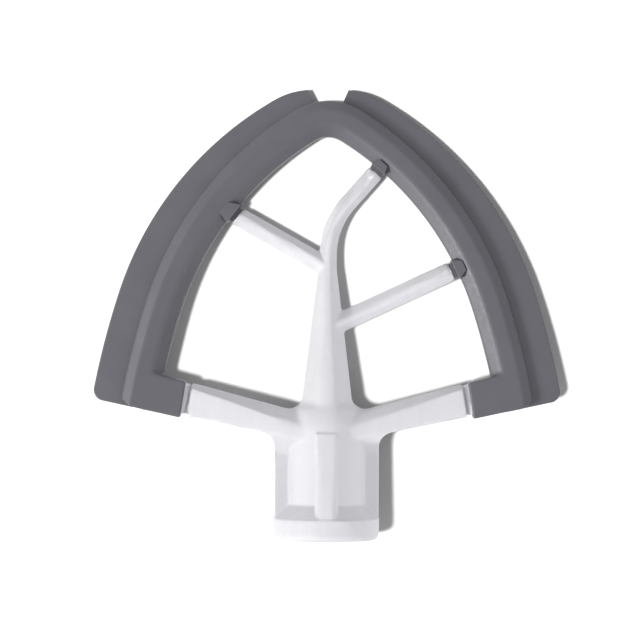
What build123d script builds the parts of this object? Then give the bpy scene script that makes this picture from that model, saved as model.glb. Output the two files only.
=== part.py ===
from build123d import *
import math
import os

# A flex-edge flat beater in millimetres. It is worked out lying level: X runs across, Y runs from
# the socket's mouth to the tip, Z points at the viewer, and the origin is the middle of the mouth.
# At the end both pieces are turned about X by the angle at which the beater lies on a table.

# Rim: its middle line on the right half, as arcs that run on from each other, tip first
rim_tip_y = 133.6
rim_tip_radius, rim_tip_angle = 13.7, 31.6
rim_upper_radius, rim_upper_angle = 104.0, 40.7
rim_lower_radius, rim_lower_angle = 254.0, 12.0

# Rim: section of the soft moulding
rim_width = 11.5
rim_depth = 10.0
outer_bevel_width, outer_bevel_drop = 3.0, 1.6
inner_bevel_width, inner_bevel_drop = 3.7, 2.8
outer_bevel_round = 2.0
inner_bevel_round = 3.0
inner_edge_round = 0.8

# Rim: the frame's own hoop inside the soft moulding
core_width = 6.4
core_depth = 6.0

# Scraper lip: outer outline on the right half, tip first, and its tapering thickness
lip_tip_y = 142.9
lip_tip_flat = 5.2
lip_tip_radius, lip_tip_angle = 23.5, 30.1
lip_upper_radius, lip_upper_angle = 109.2, 41.9
lip_lower_radius, lip_lower_angle = 260.0, 12.0
lip_bottom_drop = 0.5
lip_root_depth = 3.4
lip_edge_depth = 1.3
lip_full_width = 9.6
lip_corner_radius = 3.4
lip_end_radius = 0.9
lip_gap_pivot_y = 130.0
lip_gap_half_angle = 24.0

# Arms: upper edge, bevel line and lower edge, each a height on the axis and a rise per mm of X
arm_top_height, arm_top_slope = 38.1, 0.268
arm_bevel_height, arm_bevel_slope = 33.3, 0.343
arm_bottom_height, arm_bottom_slope = 30.4, 0.197
arm_root_x = 7.4
arm_root_depth, arm_end_depth = 20.0, 8.2
arm_ridge_root_depth, arm_ridge_end_depth = 12.8, 4.6
arm_edge_chamfer = 0.7

# Feet: the soft moulding's square ends round the arms
foot_bottom_height, foot_bottom_slope = 28.8, 0.212
foot_end_x = 44.7
foot_end_slant = 9.0
foot_wall = 2.2
foot_edge_chamfer = 0.6
foot_corner_radius = 3.2
neck_length = 2.0
neck_step = 0.5
neck_face_step = 0.4
neck_anchor = 4.0

# Hub: collar, sleeve, shoulder and four fins
collar_radius = 16.75
collar_height = 7.0
collar_mouth_round = 2.2
collar_ledge = 0.35
collar_cone_height = 4.3
sleeve_radius = 12.4
sleeve_height = 36.8
shoulder_radius = 11.2
shoulder_height = 40.6
fin_thickness = 6.8
fin_reach = 16.55
fin_arm_round = 4.8
fin_root_length = 14.0
fin_web_height = 6.5
face_fin_reach_low = 16.3
face_fin_reach_high = 12.9
face_fin_height = 34.0
face_fin_top = 40.5
face_fin_round = 2.4

# Socket: bore and bayonet slots for the drive shaft and its cross pin
bore_diameter = 13.0
lead_diameter = 13.6
bore_depth = 34.0
pin_slot_width = 4.9
pin_slot_reach = 10.4
pin_slot_height = 13.0
pin_turn_angle = 62.0
pin_rest_depth = 2.0
mouth_chamfer = 0.8

# Spine: its eight-sided section at the shoulder and at the top
spine_low_y, spine_high_y = 40.0, 87.0
spine_low_width, spine_high_width = 16.9, 5.6
spine_low_depth, spine_high_depth = 21.0, 6.4
spine_face_share = 0.31
spine_low_side_share, spine_high_side_share = 0.42, 0.26
spine_root_round = 4.0

# Branches: each leaves the spine and ends at the rim
branch_face_share = 0.30
branch_side_share = 0.30
branch_depth = 6.0
left_branch_start, left_branch_angle, left_branch_width = (1.0, 86.0), 150.5, 5.9
right_branch_start, right_branch_angle, right_branch_width = (1.0, 67.6), 25.0, 6.2
curved_branch_start, curved_branch_corner = (1.1, 84.0), (1.8, 101.7)
curved_branch_angle, curved_branch_radius, curved_branch_width = 48.6, 21.0, 5.7
branch_gap = 0.8
branch_neck_width = 4.2
branch_neck_share = 0.41

# Pads: soft collars round the branch ends, widths at the inner edge and at the flat, and length,
# and the narrower sleeve that fills the gap between a pad and its branch
pad_proud = 0.7
pad_below_face = 0.25
sleeve_width = 4.8
left_pad = (7.2, 3.4, 4.4)
right_pad = (6.8, 3.7, 3.2)
curved_pad = (6.2, 3.9, 3.0)

# Worked out from the sizes above
rim_half = rim_width / 2
rim_arcs = [
    (rim_tip_radius, rim_tip_angle),
    (rim_upper_radius, rim_upper_angle),
    (rim_lower_radius, rim_lower_angle),
]
fin_half = fin_thickness / 2
table_reach = rim_tip_y + rim_half - outer_bevel_width
rest_tilt = math.degrees(
    math.atan2(collar_radius - rim_depth / 2, table_reach - collar_height)
)
FAR = 2 * rim_tip_y


def arm_top(x):
    """Height of an arm's upper edge at a distance x from the axis."""
    return arm_top_height + arm_top_slope * x


def arm_bevel(x):
    """Height of the line where an arm's flat face turns into its upper bevel."""
    return arm_bevel_height + arm_bevel_slope * x


def arm_bottom(x):
    """Height of an arm's lower edge."""
    return arm_bottom_height + arm_bottom_slope * x


def foot_bottom(x):
    """Height of the foot's and the lip's lower edge."""
    return foot_bottom_height + foot_bottom_slope * x


def polygon(points):
    """A flat face with straight edges through the points."""
    return make_face(Polyline(*points, close=True))


def two_faced(points):
    """A section that is the same above and below the beater's middle plane, from its upper half."""
    return polygon(points + [(v, -z) for v, z in reversed(points)])


def slab(face, depth):
    """A flat outline in the beater's plane made into a plate, half of its depth on each side."""
    return extrude(face, amount=depth / 2, both=True)


def stations():
    """Centre, radius, first heading and sweep of each arc of the rim's middle line. A heading is
    the angle that the line points below +X."""
    x, y, heading = 0.0, rim_tip_y, 0.0
    for radius, angle in rim_arcs:
        sine, cosine = math.sin(math.radians(heading)), math.cos(math.radians(heading))
        centre = (x - radius * sine, y - radius * cosine)
        yield centre, radius, heading, angle
        heading += angle
        sine, cosine = math.sin(math.radians(heading)), math.cos(math.radians(heading))
        x, y = centre[0] + radius * sine, centre[1] + radius * cosine


def along_rim(section):
    """A section carried down the right half of the rim: it turns about each arc's centre in
    turn. In the section, x is the distance outwards from the middle line and y is depth."""
    hoop = Part()
    for centre, radius, heading, angle in stations():
        sine, cosine = math.sin(math.radians(heading)), math.cos(math.radians(heading))
        start = Plane(
            origin=(centre[0] + radius * sine, centre[1] + radius * cosine, 0),
            x_dir=(sine, cosine, 0),
            z_dir=(cosine, -sine, 0),
        )
        turn = Axis((centre[0], centre[1], 0), (0, 0, -1))
        hoop += revolve(start * section, axis=turn, revolution_arc=angle)
    return hoop


def band(inner, outer, depth):
    """The stretch of space between two distances from the rim's middle line, on both halves."""
    half = along_rim(two_faced([(outer, depth / 2), (inner, depth / 2)]))
    return half + mirror(half, about=Plane.YZ)


def rim_middle_x(y):
    """How far from the axis the rim's middle line is at a height beside the feet."""
    (centre_x, centre_y), radius, _, _ = list(stations())[-1]
    return centre_x + math.sqrt(radius**2 - (y - centre_y) ** 2)


def rim_crossing(start, angle, offset):
    """Where a straight line from a point inside the arch meets the curve at an offset from the
    rim's middle line. The left half is solved as its mirror image."""
    dx, dy = math.cos(math.radians(angle)), math.sin(math.radians(angle))
    side = 1 if dx > 0 else -1
    for centre, radius, heading, sweep_angle in stations():
        fx, fy = start[0] * side - centre[0], start[1] - centre[1]
        along = fx * dx * side + fy * dy
        gap = along**2 - fx**2 - fy**2 + (radius + offset) ** 2
        reach = math.sqrt(max(gap, 0.0)) - along
        x, y = fx + dx * side * reach, fy + dy * reach
        if heading <= math.degrees(math.atan2(x, y)) <= heading + sweep_angle:
            return start[0] + dx * reach, start[1] + dy * reach
    raise ValueError("the branch misses the rim")


def above_line(height, slope):
    """The right half of the beater's plane above a sloping line."""
    return polygon([(0, height), (FAR, height + slope * FAR), (FAR, 2 * FAR), (0, 2 * FAR)])


def inside_end(shift):
    """The plane on the axis side of the foot's end, moved towards the axis by a shift."""
    rise = math.tan(math.radians(foot_end_slant))
    corner = arm_top(foot_end_x)
    low, high = foot_end_x + corner * rise - shift, foot_end_x - corner * rise - shift
    return polygon([(-FAR, 0), (low, 0), (high, 2 * corner), (-FAR, 2 * corner)])


def eight_sided(width, depth, face_share, side_share):
    """A section with a flat in front, a flat at each side and bevels between them."""
    side, front = width / 2, depth / 2
    return two_faced([(side, front * side_share), (side * face_share, front),
                      (-side * face_share, front), (-side, front * side_share)])


# Soft edge


def rim_section():
    """The rim's outline across: flat in front, a bevel towards the lip, a softer one inside."""
    half_depth = rim_depth / 2
    outer, inner = rim_half - outer_bevel_width, inner_bevel_width - rim_half
    section = two_faced([
        (rim_half, half_depth - outer_bevel_drop), (outer, half_depth),
        (inner, half_depth), (-rim_half, half_depth - inner_bevel_drop)])
    for place, radius in ((outer, outer_bevel_round), (inner, inner_bevel_round),
                          (-rim_half, inner_edge_round)):
        corners = [v for v in section.vertices() if abs(v.X - place) < 1e-6]
        section = fillet(corners, radius)
    return section


def foot_block():
    """The square end of the soft moulding, as far in as the middle of the rim, chamfered where
    it faces the arm."""
    rise = math.tan(math.radians(foot_end_slant))
    top, bottom = arm_top(foot_end_x), foot_bottom(foot_end_x)
    low_x = foot_end_x + (top - bottom) * rise / (1 + foot_bottom_slope * rise)
    high_reach, low_reach = rim_middle_x(top), rim_middle_x(bottom)
    outline = polygon([(foot_end_x, top), (high_reach, arm_top(high_reach)),
                       (low_reach, foot_bottom(low_reach)), (low_x, foot_bottom(low_x))])
    block = slab(outline, rim_depth)
    slant = math.radians(foot_end_slant)
    end = [(foot_end_x, top, 0), Vector(math.cos(slant), math.sin(slant), 0)]
    return chamfer([e for e in block.edges() if on_plane(e, *end)], foot_edge_chamfer)


def above_foot_edge():
    """The space above the foot's lower edge, as deep as the rim, with that edge chamfered in
    front and behind."""
    lean = math.atan(foot_bottom_slope)
    across = Plane(origin=(0, foot_bottom_height, 0), x_dir=(-math.sin(lean), math.cos(lean), 0),
                   z_dir=(math.cos(lean), math.sin(lean), 0))
    half, cut = rim_depth / 2, foot_edge_chamfer
    return extrude(across * two_faced([(FAR, half), (cut, half), (0, half - cut)]), amount=FAR)


def run_on(curve):
    """A straight line on from a curve's end, long enough to pass the foot's lower edge."""
    return Line(curve @ 1, curve @ 1 + (curve % 1) * foot_bottom_height)


def rim_outline():
    """What lies inside the rim's outer edge and above the foot's lower edge, corner rounded."""
    start = (0, rim_tip_y + rim_half)
    tip = JernArc(start, (1, 0), rim_tip_radius + rim_half, -rim_tip_angle)
    upper = JernArc(tip @ 1, tip % 1, rim_upper_radius + rim_half, -rim_upper_angle)
    lower = JernArc(upper @ 1, upper % 1, rim_lower_radius + rim_half, -rim_lower_angle)
    tail = run_on(lower)
    closing = Polyline(tail @ 1, (0, 0), start)
    outline = make_face(Curve() + [tip, upper, lower, tail, closing])
    outline &= above_line(foot_bottom_height, foot_bottom_slope)
    return fillet(outline.vertices().sort_by(Axis.X)[-1], foot_corner_radius)


def lip():
    """The thin scraper along the rim's outer side: a tapering section cut to its outline."""
    taper = (lip_root_depth - lip_edge_depth) / lip_full_width
    reach = lip_full_width * 1.1
    section = two_faced([
        (rim_half + reach, (lip_root_depth - taper * reach) / 2),
        (rim_half, lip_root_depth / 2), (rim_half - 1, lip_root_depth / 2)])
    flat = Line((0, lip_tip_y), (lip_tip_flat, lip_tip_y))
    tip = JernArc(flat @ 1, flat % 1, lip_tip_radius, -lip_tip_angle)
    upper = JernArc(tip @ 1, tip % 1, lip_upper_radius, -lip_upper_angle)
    lower = JernArc(upper @ 1, upper % 1, lip_lower_radius, -lip_lower_angle)
    tail = run_on(lower)
    closing = Polyline(tail @ 1, (0, 0), flat @ 0)
    outline = make_face(Curve() + [flat, tip, upper, lower, tail, closing])
    outline &= above_line(foot_bottom_height - lip_bottom_drop, foot_bottom_slope)
    lean = math.tan(math.radians(lip_gap_half_angle))
    outline &= polygon([(0, 0), (FAR, 0), (FAR, 2 * FAR),
                        ((2 * FAR - lip_gap_pivot_y) * lean, 2 * FAR), (0, lip_gap_pivot_y)])
    outline = fillet(outline.vertices().sort_by(Axis.X)[-1], lip_corner_radius)
    outline = fillet(outline.vertices().sort_by(Axis.Y)[-1], lip_end_radius)
    return along_rim(section) & slab(outline, rim_depth)


def on_plane(edge, point, normal):
    """True where an edge lies in the plane through a point."""
    return all(abs((edge @ t - Vector(*point)).dot(Vector(*normal))) < 1e-4 for t in (0, 0.5, 1))


def soft_half():
    """Rim, foot and lip of the right half."""
    body = along_rim(rim_section()) & slab(rim_outline(), rim_depth)
    body += foot_block()
    return (body & above_foot_edge()) + lip()


def pad(start, angle, sizes):
    """A collar of the soft moulding round a branch's end, flat in front and wider inside, with a
    sleeve round the branch's pin."""
    inner_width, flat_width, length = sizes
    x, y = rim_crossing(start, angle, -rim_half)
    spread = (inner_width - flat_width) / length / 2
    back = inner_width / 2 + spread * pad_proud * 2
    outline = polygon([(length, flat_width / 2), (-pad_proud * 2, back),
                       (-pad_proud * 2, -back), (length, -flat_width / 2)])
    block = slab(Pos(x, y) * Rot(Z=angle) * outline, rim_depth - 2 * pad_below_face)
    block &= band(-rim_half - pad_proud, 0, rim_depth)
    sleeve = Pos(x, y, 0) * Rot(Z=angle) * Box(4 * (pad_proud + branch_gap), sleeve_width, sleeve_width)
    return block + (sleeve & band(-rim_half - pad_proud - branch_gap, 0, rim_depth))


# Frame


def socket():
    """Space for the drive shaft: a bore that is a little wider near its mouth, two slots for the
    cross pin, and the turn that they end in."""
    bore = Cylinder(bore_diameter / 2, bore_depth, rotation=(-90, 0, 0),
                    align=(Align.CENTER, Align.CENTER, Align.MIN))
    lead = lead_diameter / 2
    slot_top = pin_slot_height + pin_slot_width
    mouth = revolve(polygon([(0, 0), (lead + mouth_chamfer, 0), (lead, mouth_chamfer),
                             (lead, slot_top), (0, slot_top)]), axis=Axis.Y)
    entry = Box(pin_slot_reach, slot_top, pin_slot_width,
                align=(Align.MIN, Align.MIN, Align.CENTER))
    turn_outline = polygon([
        (0, pin_slot_height), (pin_slot_reach, pin_slot_height),
        (pin_slot_reach, slot_top), (0, slot_top)])
    turn = revolve(turn_outline, axis=Axis.Y, revolution_arc=pin_turn_angle)
    rest = Pos(0, pin_slot_height - pin_rest_depth, 0) * Box(
        pin_slot_reach, pin_slot_width + pin_rest_depth, pin_slot_width,
        align=(Align.MIN, Align.MIN, Align.CENTER))
    rest &= Cylinder(pin_slot_reach, FAR, rotation=(90, 0, 0))
    entry &= Cylinder(pin_slot_reach, FAR, rotation=(90, 0, 0))
    front_slot = Rot(Y=90) * (entry + turn + Rot(Y=pin_turn_angle) * rest)
    return bore + mouth + front_slot + Rot(Y=180) * front_slot


def hub():
    """Collar, sleeve and shoulder turned about the axis, with fins in front and behind."""
    outline = polygon([
        (0, 0), (collar_radius, 0), (collar_radius, collar_height),
        (collar_radius - collar_ledge, collar_height),
        (sleeve_radius, collar_height + collar_cone_height),
        (sleeve_radius, sleeve_height), (shoulder_radius, shoulder_height), (0, shoulder_height)])
    mouth = [v for v in outline.vertices() if abs(v.X - collar_radius) < 1e-6 and v.Y < 1e-6]
    outline = fillet(mouth, collar_mouth_round)
    body = revolve(outline, axis=Axis.Y)
    fin_outline = polygon([
        (collar_height / 2, 0), (collar_height / 2, face_fin_reach_low),
        (collar_height, face_fin_reach_low), (face_fin_height, face_fin_reach_high),
        (face_fin_top, 0)])
    fin = extrude(Plane.YZ * fin_outline, amount=fin_half, both=True)
    crest = [e for e in fin.edges() if on_plane(
        e, (0, collar_height, face_fin_reach_low),
        Vector(0, face_fin_reach_low - face_fin_reach_high, face_fin_height - collar_height)
        .normalized()) and abs(e.center().X) > fin_half - 1e-6]
    fin = fillet(crest, face_fin_round)
    return body + fin + mirror(fin, about=Plane.XY)


def web_face(x):
    """A section of the web at a distance x from the axis: from an arm's face it slopes back to
    the face of the fin below."""
    part = (x - arm_root_x) / (foot_end_x + neck_length - arm_root_x)
    front = (arm_root_depth + part * (arm_end_depth - arm_root_depth)) / 2
    outline = two_faced([(arm_bevel(x), front), (arm_bottom(x), front),
                         (arm_bottom(x) - fin_web_height, fin_half)])
    return Plane.YZ.offset(x) * outline


def side_fins():
    """The two fins in the beater's plane, rounded into the underside of the arms, with a web
    that slopes up to the arms' faces."""
    corner = arm_bottom(fin_reach)
    wing = fin_reach + fin_root_length
    outline = polygon([
        (0, collar_height / 2), (fin_reach, collar_height / 2), (fin_reach, corner),
        (wing, arm_bottom(wing)), (wing, arm_bevel(wing)), (0, arm_bevel(0))])
    concave = [v for v in outline.vertices() if abs(v.X - fin_reach) < 1e-6 and v.Y > collar_height]
    outline = fillet(concave, fin_arm_round)
    web = loft([web_face(arm_root_x), web_face(wing)], ruled=True)
    fin = slab(outline, fin_thickness) + (web & slab(outline, arm_root_depth))
    return fin + mirror(fin, about=Plane.YZ)


def arm_face(x, face_depth, ridge_depth):
    """An arm's section at a distance x from the axis: flat faces with a long bevel above."""
    front, ridge, cut = face_depth / 2, ridge_depth / 2, arm_edge_chamfer
    outline = two_faced([(arm_top(x), ridge), (arm_bevel(x), front),
                         (arm_bottom(x) + cut, front), (arm_bottom(x), front - cut)])
    return Plane.YZ.offset(x) * outline


def arms():
    """Both arms, their necks and the tenons that carry the hoop inside the soft feet."""
    end = foot_end_x + neck_length
    arm = loft([arm_face(arm_root_x, arm_root_depth, arm_ridge_root_depth),
                arm_face(end, arm_end_depth, arm_ridge_end_depth)], ruled=True)
    arm &= slab(inside_end(neck_length), FAR)
    neck = polygon([
        (foot_end_x / 2, arm_top(foot_end_x / 2) - neck_step), (end, arm_top(end) - neck_step),
        (end, arm_bottom(end) + neck_step), (foot_end_x / 2, arm_bottom(foot_end_x / 2) + neck_step)])
    neck = slab(neck & inside_end(0), arm_end_depth - 2 * neck_face_step)
    neck &= Pos(foot_end_x, 0, 0) * Box(2 * neck_anchor, FAR, FAR)
    start, reach = foot_end_x - neck_length, rim_middle_x(arm_bottom(foot_end_x))
    tenon = slab(polygon([
        (start, arm_top(start) - foot_wall), (reach, arm_top(reach) - foot_wall),
        (reach, foot_bottom(reach) + foot_wall), (start, foot_bottom(start) + foot_wall)]), core_depth)
    arm += [neck, tenon]
    return arm + mirror(arm, about=Plane.YZ)


def hoop():
    """The frame's rim inside the soft moulding, ending a wall's thickness above its lower edge."""
    half = along_rim(two_faced([(core_width / 2, core_depth / 2), (-core_width / 2, core_depth / 2)]))
    half &= slab(above_line(foot_bottom_height + foot_wall, foot_bottom_slope), rim_depth)
    return half + mirror(half, about=Plane.YZ)


def spine_side(y):
    """Half of the spine's width at a height."""
    part = (y - spine_low_y) / (spine_high_y - spine_low_y)
    return (spine_low_width + part * (spine_high_width - spine_low_width)) / 2


def spine():
    """The tapering post from the shoulder up to the branches, with its sides rounded into the
    upper edges of the arms."""
    low = eight_sided(spine_low_width, spine_low_depth, spine_face_share, spine_low_side_share)
    high = eight_sided(spine_high_width, spine_high_depth, spine_face_share, spine_high_side_share)
    post = loft([Plane.XZ.offset(-spine_low_y) * low, Plane.XZ.offset(-spine_high_y) * high],
                ruled=True)
    lean = (spine_side(spine_high_y) - spine_side(spine_low_y)) / (spine_high_y - spine_low_y)
    corner_x = spine_side(arm_top(0)) / (1 - lean * arm_top_slope)
    corner_y = arm_top(corner_x)
    wing, rise = corner_x + 2 * spine_root_round, corner_y + 2 * spine_root_round
    root = polygon([(0, arm_bevel(0)), (wing, arm_bevel(wing)), (wing, arm_top(wing)),
                    (corner_x, corner_y), (spine_side(rise), rise), (0, rise)])
    concave = [v for v in root.vertices() if abs(v.X - corner_x) < 1e-6]
    root = slab(fillet(concave, spine_root_round), spine_low_depth * spine_low_side_share)
    return post + root + mirror(root, about=Plane.YZ)


def branch_plane(start, angle):
    """A plane across a branch, its x in the beater's plane and its y in depth."""
    sine, cosine = math.sin(math.radians(angle)), math.cos(math.radians(angle))
    return Plane(origin=(start[0], start[1], 0), x_dir=(-sine, cosine, 0), z_dir=(cosine, sine, 0))


def straight_branch(start, angle, width):
    """A straight rod from the spine, long enough to pass the rim's inner edge."""
    section = eight_sided(width, branch_depth, branch_face_share, branch_side_share)
    end = rim_crossing(start, angle, 0)
    length = math.dist(start, end)
    return extrude(branch_plane(start, angle) * section, amount=length)


def curved_branch():
    """The rod that carries the spine on upwards and bends across to the rim."""
    section = eight_sided(curved_branch_width, branch_depth, branch_face_share, branch_side_share)
    end = rim_crossing(curved_branch_corner, curved_branch_angle, 0)
    path = FilletPolyline(curved_branch_start, curved_branch_corner, end, radius=curved_branch_radius)
    rise = math.degrees(math.atan2(curved_branch_corner[1] - curved_branch_start[1],
                                   curved_branch_corner[0] - curved_branch_start[0]))
    return sweep(branch_plane(curved_branch_start, rise) * section, path=path)


def branch_neck(start, angle):
    """The pin that joins a branch's end to the hoop inside the soft moulding."""
    tip = rim_crossing(start, angle, 0)
    length = rim_half + pad_proud + 2 * branch_gap
    root = (tip[0] - length * math.cos(math.radians(angle)),
            tip[1] - length * math.sin(math.radians(angle)))
    section = eight_sided(branch_neck_width, branch_neck_width, branch_neck_share, branch_neck_share)
    return extrude(branch_plane(root, angle) * section, amount=length)


def branches():
    """All three rods, cut back from the rim, with their necks."""
    rods = straight_branch(left_branch_start, left_branch_angle, left_branch_width)
    rods += straight_branch(right_branch_start, right_branch_angle, right_branch_width)
    rods += curved_branch()
    rods -= band(-rim_half - pad_proud - branch_gap, rim_half, rim_depth)
    for start, angle in ((left_branch_start, left_branch_angle),
                         (right_branch_start, right_branch_angle),
                         (curved_branch_corner, curved_branch_angle)):
        rods += branch_neck(start, angle)
    return rods


def make_frame():
    """The stiff moulding: hub, arms, spine and branches in one with the hoop in the rim."""
    frame = hub() + side_fins() + arms() + spine() + branches() + hoop()
    return frame - socket()


def make_flex_edge(frame):
    """The soft moulding round the frame's hoop: it fills whatever the frame leaves of its form."""
    half = soft_half()
    edge = half + mirror(half, about=Plane.YZ)
    edge += pad(left_branch_start, left_branch_angle, left_pad)
    edge += pad(right_branch_start, right_branch_angle, right_pad)
    edge += pad(curved_branch_corner, curved_branch_angle, curved_pad)
    return edge - frame


frame = make_frame()
flex_edge = make_flex_edge(frame)

os.makedirs("parts", exist_ok=True)
for name, piece in (("frame", frame), ("flex_edge", flex_edge)):
    resting = Rot(X=-rest_tilt) * piece
    export_step(resting, f"parts/{name}.step")
    print(name, len(resting.solids()), "solid", round(resting.volume), "mm3", resting.is_valid)
print("rest tilt", round(rest_tilt, 3), "degrees")
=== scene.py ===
# %% [markdown]
# # A flat beater with a soft scraper edge
# The beater is two mouldings that never come apart: a stiff white frame that holds the drive
# socket, and a soft grey edge moulded over the frame's rim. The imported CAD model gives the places
# and the sizes. Here each moulding is made again as a smooth surface worked out with numpy, and
# then dressed, lit and looked at.

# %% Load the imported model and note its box
import math

import bpy
import numpy as np
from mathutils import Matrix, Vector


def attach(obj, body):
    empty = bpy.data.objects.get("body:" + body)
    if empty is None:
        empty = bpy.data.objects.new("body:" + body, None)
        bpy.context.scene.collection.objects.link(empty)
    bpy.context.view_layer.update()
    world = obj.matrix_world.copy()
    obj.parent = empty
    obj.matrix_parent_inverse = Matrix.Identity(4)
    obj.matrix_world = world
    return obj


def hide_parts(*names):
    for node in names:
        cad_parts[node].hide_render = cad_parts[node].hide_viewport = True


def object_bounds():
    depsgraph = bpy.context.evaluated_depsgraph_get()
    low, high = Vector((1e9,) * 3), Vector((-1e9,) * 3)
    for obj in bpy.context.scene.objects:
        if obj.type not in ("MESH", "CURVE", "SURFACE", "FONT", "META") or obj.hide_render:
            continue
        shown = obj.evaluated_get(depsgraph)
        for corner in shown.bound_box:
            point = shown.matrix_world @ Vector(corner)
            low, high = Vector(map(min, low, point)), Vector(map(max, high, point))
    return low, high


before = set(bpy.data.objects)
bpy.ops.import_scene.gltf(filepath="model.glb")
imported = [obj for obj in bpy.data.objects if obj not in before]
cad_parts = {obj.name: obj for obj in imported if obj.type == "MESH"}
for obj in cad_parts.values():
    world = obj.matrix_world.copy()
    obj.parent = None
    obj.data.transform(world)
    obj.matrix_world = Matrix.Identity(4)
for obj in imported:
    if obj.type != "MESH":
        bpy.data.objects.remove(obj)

MM = 0.001
cad_box = [list(corner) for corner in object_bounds()]
print("the CAD box in mm:", np.round(np.array(cad_box) / MM, 2).tolist())

# %% [markdown]
# ## Two frames of reference
# The beater is drawn flat, in millimetres: X across, Y from the socket's mouth to the tip, Z
# towards the viewer. On the table it rests on its collar and its tip, which turns it by a few
# degrees about X. The objects could be turned for that, but a pattern laid on them would turn as
# well once they are exported. So every point is worked out flat and goes through one function on
# its way into a mesh.

# %% From the flat drawing to the table
collar_radius, collar_height = 16.75, 7.0
tip_y = 133.6
# The rim's half width, the half depth of its flat face, and the width of its outer bevel.
rim_half, rim_face, outer_bevel = 5.75, 5.0, 3.0
rest_tilt = math.atan2(collar_radius - rim_face, tip_y + rim_half - outer_bevel - collar_height)


def on_the_table(points):
    """Flat drawing in mm to place at rest in metres: a turn about X by the rest tilt. The new Y
    is Y cos + Z sin and the new Z is Z cos - Y sin."""
    points = np.asarray(points, float)
    cosine, sine = math.cos(rest_tilt), math.sin(rest_tilt)
    y = points[..., 1] * cosine + points[..., 2] * sine
    z = points[..., 2] * cosine - points[..., 1] * sine
    return np.stack([points[..., 0], y, z], axis=-1) * MM


print("rest tilt in degrees:", round(math.degrees(rest_tilt), 2))

# %% [markdown]
# ## The camera
# The photograph was taken from about one metre away, square to the beater's own plane, with a
# long lens. The camera could be aimed with a Track To constraint. Here its three axes are simply
# the drawing's axes, turned by a quarter of a degree, because the beater lies that much askew in
# the picture.

# %% The camera
looked_at = np.array([-2.3, 69.8, 0.0])
view_distance, picture_width, sensor_width = 1000.0, 203.5, 36.0
askew = math.radians(0.27)

right = np.array([math.cos(askew), math.sin(askew), 0.0])
up = np.array([-math.sin(askew), math.cos(askew), 0.0])
towards = np.array([0.0, 0.0, 1.0])
camera_place = on_the_table(looked_at + view_distance * towards)
turn = np.eye(4)
turn[:3, :3] = (on_the_table([right, up, towards]) / MM).T
turn[:3, 3] = camera_place

camera = bpy.data.objects.new("camera", bpy.data.cameras.new("camera"))
bpy.context.scene.collection.objects.link(camera)
camera.matrix_world = turn.T.tolist()
camera.data.sensor_width = sensor_width
camera.data.lens = sensor_width * view_distance / picture_width
camera.data.clip_end = 20.0
bpy.context.scene.camera = camera
print("camera at", np.round(camera_place, 3).tolist(), "lens in mm:", round(camera.data.lens, 1))

# %% [markdown]
# ## From grids to closed meshes
# Every surface below is a grid of points, worked out all at once. Two kinds of closed form are
# enough: a tube, whose rings run along a path and are capped at both ends, and a plate, with a
# top and a bottom grid joined round the edge.

# %% Grids of points as closed forms


def tube(rings):
    """A closed form from an array of rings (ring, point, xyz), with a flat cap on each end. Point
    j of ring i joins point j + 1 and the same two of ring i + 1 in a quad."""
    rings = np.asarray(rings, float)
    number, count = rings.shape[:2]
    i, j = np.meshgrid(np.arange(number - 1), np.arange(count), indexing="ij")
    following = (j + 1) % count
    quads = np.stack([i * count + j, i * count + following,
                      (i + 1) * count + following, (i + 1) * count + j], axis=-1)
    first_cap = list(range(count))[::-1]
    last_cap = list(range((number - 1) * count, number * count))
    return rings.reshape(-1, 3), quads.reshape(-1, 4).tolist() + [first_cap, last_cap]


def plate(top, bottom):
    """A closed form from a top and a bottom grid of the same size (row, column, xyz). Quads fill
    both grids, and a wall joins their edges all the way round."""
    rows, columns = top.shape[:2]
    index = np.arange(rows * columns).reshape(rows, columns)
    quads = np.stack([index[:-1, :-1], index[1:, :-1], index[1:, 1:], index[:-1, 1:]], axis=-1)
    quads = quads.reshape(-1, 4)
    shift = rows * columns
    edge = np.concatenate([index[0, :-1], index[:-1, -1], index[-1, :0:-1], index[:0:-1, 0]])
    after = np.roll(edge, -1)
    wall = np.stack([edge, after, after + shift, edge + shift], axis=-1)
    faces = np.concatenate([quads, quads[:, ::-1] + shift, wall]).tolist()
    return np.concatenate([top.reshape(-1, 3), bottom.reshape(-1, 3)]), faces


def mirrored(form, signs=(-1, 1, 1)):
    """The same form with the sign of X, or of another axis, changed and its faces turned round."""
    points, faces = form
    return points * np.array(signs), [face[::-1] for face in faces]


def together(name, forms):
    """One object from closed forms in mm, with an edge kept sharp where it turns by over 35
    degrees."""
    points, faces, start = [], [], 0
    for form_points, form_faces in forms:
        points.append(form_points)
        faces += [[start + k for k in face] for face in form_faces]
        start += len(form_points)
    mesh = bpy.data.meshes.new(name)
    mesh.from_pydata(on_the_table(np.concatenate(points)).tolist(), [], faces)
    mesh.shade_smooth()
    mesh.set_sharp_from_angle(angle=math.radians(35))
    piece = bpy.data.objects.new(name, mesh)
    bpy.context.scene.collection.objects.link(piece)
    print(name, "has", len(mesh.vertices), "points before any fusing")
    return piece


# %% [markdown]
# ## Fusing forms into one skin
# A mould leaves one skin with softly rounded joins where an arm runs into a hub. Boolean unions
# and bevels could give that, but they fail easily on grids that only just touch. A voxel remesh
# always closes the skin, and smoothing then rounds it, more where the real joins are softer.

# %% Fuse, smooth and thin out


def skinned(piece):
    """The piece with its modifiers taken into its mesh, shaded smooth."""
    shaped = bpy.data.meshes.new_from_object(
        piece.evaluated_get(bpy.context.evaluated_depsgraph_get()))
    piece.modifiers.clear()
    piece.data = shaped
    shaped.shade_smooth()
    return shaped


def smoothing(piece, name, passes):
    """A modifier that moves each point halfway to its neighbours' middle in each pass."""
    smooth = piece.modifiers.new(name, "SMOOTH")
    smooth.factor = 0.5
    smooth.iterations = passes
    return smooth


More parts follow.
